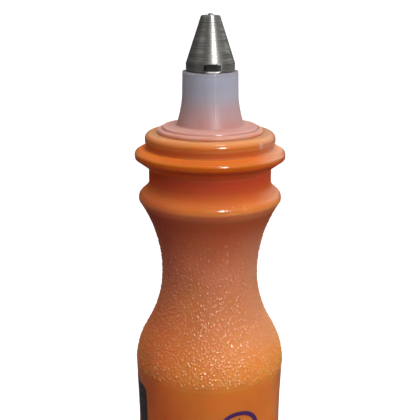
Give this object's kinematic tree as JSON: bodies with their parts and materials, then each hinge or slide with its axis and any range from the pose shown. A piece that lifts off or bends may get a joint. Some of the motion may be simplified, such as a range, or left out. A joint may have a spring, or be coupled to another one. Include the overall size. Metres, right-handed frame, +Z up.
{
  "type": "glue applicator bottle",
  "caption": "Squeezable bottle with a waist, a plug nozzle and a metal needle-valve tip that lets glue out when it is pressed.",
  "frame": {"origin": "centre of the face the bottle stands on", "axes": "+Z up along the bottle's axis towards the tip; the print faces -Y"},
  "size_m": [0.016, 0.016, 0.1012],
  "materials": {
    "bottle_plastic": "soft orange polyethylene, fine moulded texture on the shoulder, smooth panel",
    "nozzle_plastic": "milky, slightly translucent polyethylene",
    "tip_steel": "turned and polished steel",
    "needle_steel": "ground steel pin",
    "spring_steel": "drawn stainless wire",
    "white_plastic": "hard white acetal",
    "glue": "thick milky glue"
  },
  "bodies": {
    "body": {"bottle": "bottle_plastic", "nozzle": "nozzle_plastic", "metal_tip": "tip_steel", "spring_seat": "white_plastic", "glue_fill": "glue", "valve_spring": "spring_steel"},
    "valve": {"valve_needle": "needle_steel", "needle_carrier": "white_plastic"}
  },
  "joints": [
    {"name": "needle_press", "type": "slide", "parent": "body", "child": "valve", "axis": [0, 0, -1], "range_m": [0, 0.0005], "stiffness_N_per_m": 150, "deforming": ["valve_spring"]}
  ]
}
